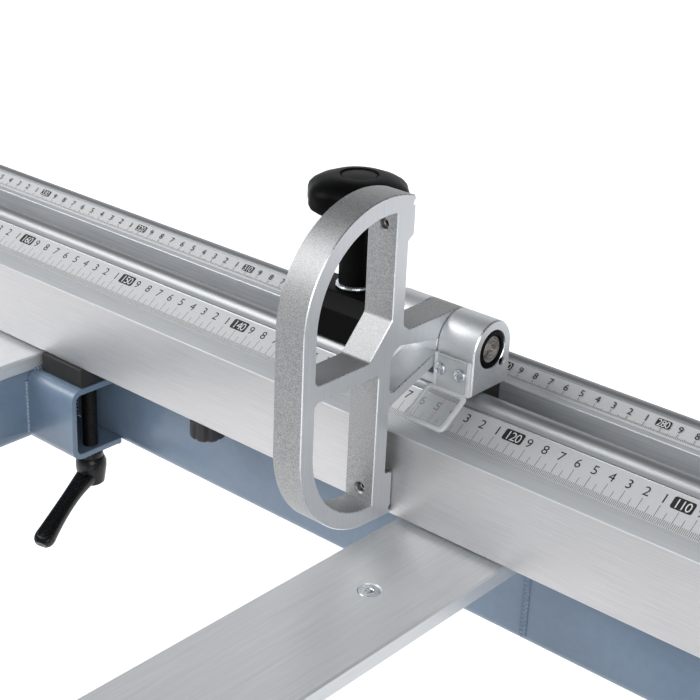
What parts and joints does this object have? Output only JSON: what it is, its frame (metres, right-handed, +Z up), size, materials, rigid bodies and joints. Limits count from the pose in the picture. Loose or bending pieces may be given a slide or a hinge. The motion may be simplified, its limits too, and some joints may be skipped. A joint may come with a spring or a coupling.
{
  "type": "sliding table saw",
  "caption": "Format saw with sliding table, telescopic outrigger, crosscut fence with rulers and flip stop, tilting blade unit and rip fence.",
  "frame": {"origin": "on the floor under the middle of the machine", "axes": "+X to the operator's right, from the outrigger to the rip rail; +Y the feed direction, away from the operator; +Z up"},
  "size_m": [3.34, 3.2, 1.097],
  "materials": {
    "frame_paint": "satin blue-grey powder coat",
    "cabinet_paint": "light grey powder coat",
    "bright_alloy": "natural anodised, brushed",
    "scale_alloy": "printed ruler strip",
    "cast": "ground and painted castings",
    "bright_steel": "turned steel",
    "black_plastic": "satin black",
    "belt_rubber": "black",
    "clear_plastic": "clear",
    "green_plastic": "gloss",
    "red_plastic": "gloss"
  },
  "bodies": {
    "base": {"cabinet": "cabinet_paint", "leveling_feet": "black_plastic", "main_table": "cast", "table_insert": "bright_alloy", "extension_table": "cast", "slide_beam": "bright_alloy", "rip_rail": "bright_steel", "control_panel": "black_plastic", "trunnion_guides": "cast", "guard_post": "cabinet_paint", "arm_pivot": "cabinet_paint"},
    "door": {"rear_door": "cabinet_paint"},
    "start": {"start_button": "green_plastic"},
    "stop_key": {"stop_button": "red_plastic"},
    "emergency": {"emergency_stop": "red_plastic"},
    "tilt_wheel": {"tilt_handwheel": "black_plastic"},
    "carriage": {"tilt_carriage": "cast"},
    "rise_wheel": {"rise_handwheel": "black_plastic"},
    "saw_unit": {"rise_slide": "cast", "motor": "frame_paint", "drive_belt": "belt_rubber", "riving_knife": "bright_steel"},
    "pulley": {"motor_pulley": "bright_steel"},
    "blade": {"arbor": "bright_steel", "saw_blade": "bright_steel", "blade_flanges": "bright_steel"},
    "scorer": {"scoring_blade": "bright_steel"},
    "guard": {"guard_arm": "cabinet_paint", "guard_hood": "black_plastic"},
    "table": {"sliding_table": "bright_alloy", "push_handle": "black_plastic", "outrigger_frame": "frame_paint", "outrigger_strips": "bright_alloy", "fence_profile": "bright_alloy", "fence_end_cap": "black_plastic", "fence_scales": "scale_alloy", "fence_spacers": "black_plastic", "clamp_studs": "bright_steel"},
    "cage": {"roller_cage": "bright_steel"},
    "lock": {"table_lock": "black_plastic"},
    "roller": {"support_roller": "bright_alloy"},
    "arm": {"swing_arm": "frame_paint"},
    "arm_inner": {"arm_extension": "frame_paint"},
    "fence_bar": {"fence_extension": "bright_alloy"},
    "outer_lever": {"outer_clamp_lever": "black_plastic"},
    "inner_lever": {"inner_clamp_lever": "black_plastic"},
    "foot_knob": {"fence_foot_knob": "black_plastic"},
    "stop": {"stop_clamp_block": "black_plastic", "stop_slot_nut": "black_plastic", "hinge_block": "bright_alloy", "hinge_bushes": "black_plastic", "cursor_lens": "clear_plastic", "cursor_screws": "bright_steel"},
    "knob": {"stop_knob": "black_plastic"},
    "flip": {"stop_plate": "bright_alloy", "hinge_shaft": "bright_steel", "stop_set_screws": "bright_steel"},
    "rip": {"rip_carrier": "cast", "rip_fence": "bright_alloy"},
    "rip_lever": {"rip_lock_lever": "black_plastic"}
  },
  "joints": [
    {"name": "door_hinge", "type": "hinge", "parent": "base", "child": "door", "pos_m": [0.495, 0.4053, 0.375], "axis": [0, 0, -1], "range_deg": [0, 110]},
    {"name": "start_press", "type": "slide", "parent": "base", "child": "start", "axis": [0, 1, 0], "range_m": [0, 0.004], "stiffness_N_per_m": 600},
    {"name": "stop_press", "type": "slide", "parent": "base", "child": "stop_key", "axis": [0, 1, 0], "range_m": [0, 0.004], "stiffness_N_per_m": 600},
    {"name": "emergency_press", "type": "slide", "parent": "base", "child": "emergency", "axis": [0, 1, 0], "range_m": [0, 0.004], "stiffness_N_per_m": 600},
    {"name": "tilt_wheel_turn", "type": "hinge", "parent": "base", "child": "tilt_wheel", "pos_m": [0.32001, -0.445, 0.59138], "axis": [0, 1, 0], "range_deg": [-675, 0]},
    {"name": "blade_tilt", "type": "hinge", "parent": "base", "child": "carriage", "pos_m": [0.27, 0, 0.875], "axis": [0, 1, 0], "range_deg": [0, 45]},
    {"name": "rise_wheel_turn", "type": "hinge", "parent": "base", "child": "rise_wheel", "pos_m": [0.52001, -0.445, 0.59138], "axis": [0, 1, 0], "range_deg": [-3961, 0]},
    {"name": "blade_rise", "type": "slide", "parent": "carriage", "child": "saw_unit", "axis": [0, 0, 1], "range_m": [-0.11, 0]},
    {"name": "motor_spin", "type": "hinge", "parent": "saw_unit", "child": "pulley", "pos_m": [0.394, 0, 0.575], "axis": [1, 0, 0], "continuous": true},
    {"name": "blade_spin", "type": "hinge", "parent": "saw_unit", "child": "blade", "pos_m": [0.27, 0, 0.8175], "axis": [1, 0, 0], "continuous": true},
    {"name": "scorer_spin", "type": "hinge", "parent": "carriage", "child": "scorer", "pos_m": [0.27, -0.2315, 0.817], "axis": [1, 0, 0], "continuous": true},
    {"name": "guard_lift", "type": "hinge", "parent": "base", "child": "guard", "pos_m": [0.501, 0.65, 1.075], "axis": [-1, 0, 0], "range_deg": [0, 60]},
    {"name": "table_slide", "type": "slide", "parent": "base", "child": "table", "axis": [0, 1, 0], "range_m": [-1.3, 1.3]},
    {"name": "cage_slide", "type": "slide", "parent": "base", "child": "cage", "axis": [0, 1, 0], "range_m": [-0.65, 0.65]},
    {"name": "table_lock_turn", "type": "hinge", "parent": "table", "child": "lock", "pos_m": [-0.125, -1.35, 0.83], "axis": [1, 0, 0], "range_deg": [0, 60]},
    {"name": "roller_spin", "type": "hinge", "parent": "table", "child": "roller", "pos_m": [-0.73, -0.366, 0.85], "axis": [1, 0, 0], "continuous": true},
    {"name": "arm_swing", "type": "hinge", "parent": "base", "child": "arm", "pos_m": [-0.145, -0.305, 0.36], "axis": [0, 0, 1], "range_deg": [-60, 60]},
    {"name": "arm_telescope", "type": "slide", "parent": "arm", "child": "arm_inner", "axis": [-1, 0, 0], "range_m": [0, 0.2]},
    {"name": "fence_telescope", "type": "slide", "parent": "table", "child": "fence_bar", "axis": [-1, 0, 0], "range_m": [0, 1.4]},
    {"name": "outer_lever_turn", "type": "hinge", "parent": "table", "child": "outer_lever", "pos_m": [-1.248, 0.13083, 0.813], "axis": [0, 0, 1], "continuous": true},
    {"name": "inner_lever_turn", "type": "hinge", "parent": "table", "child": "inner_lever", "pos_m": [-0.502, 0.13083, 0.813], "axis": [0, 0, 1], "continuous": true},
    {"name": "foot_knob_turn", "type": "hinge", "parent": "table", "child": "foot_knob", "pos_m": [-1.137, 0.13083, 0.87701], "axis": [0, 0, 1], "continuous": true},
    {"name": "stop_slide", "type": "slide", "parent": "table", "child": "stop", "axis": [1, 0, 0], "range_m": [-0.5, 1.15]},
    {"name": "stop_knob_turn", "type": "hinge", "parent": "stop", "child": "knob", "pos_m": [-1.0665, 0.1789, 0.99401], "axis": [0, 0, 1], "continuous": true},
    {"name": "stop_flip", "type": "hinge", "parent": "stop", "child": "flip", "pos_m": [-0.9953, 0.1694, 0.96731], "axis": [-1, 0, 0], "range_deg": [0, 160]},
    {"name": "rip_slide", "type": "slide", "parent": "base", "child": "rip", "axis": [1, 0, 0], "range_m": [-0.19, 0.92]},
    {"name": "rip_lever_turn", "type": "hinge", "parent": "rip", "child": "rip_lever", "pos_m": [0.676, -0.542, 0.859], "axis": [-1, 0, 0], "range_deg": [0, 80]}
  ],
  "couplings": [
    {"joint": "blade_tilt", "follows": "tilt_wheel_turn", "ratio": -0.066667},
    {"joint": "rise_wheel_turn", "follows": "blade_rise", "rad_per_m": 628.32},
    {"joint": "blade_spin", "follows": "motor_spin", "ratio": 1.4286},
    {"joint": "scorer_spin", "follows": "motor_spin", "ratio": -2},
    {"joint": "cage_slide", "follows": "table_slide", "ratio": 0.5}
  ]
}
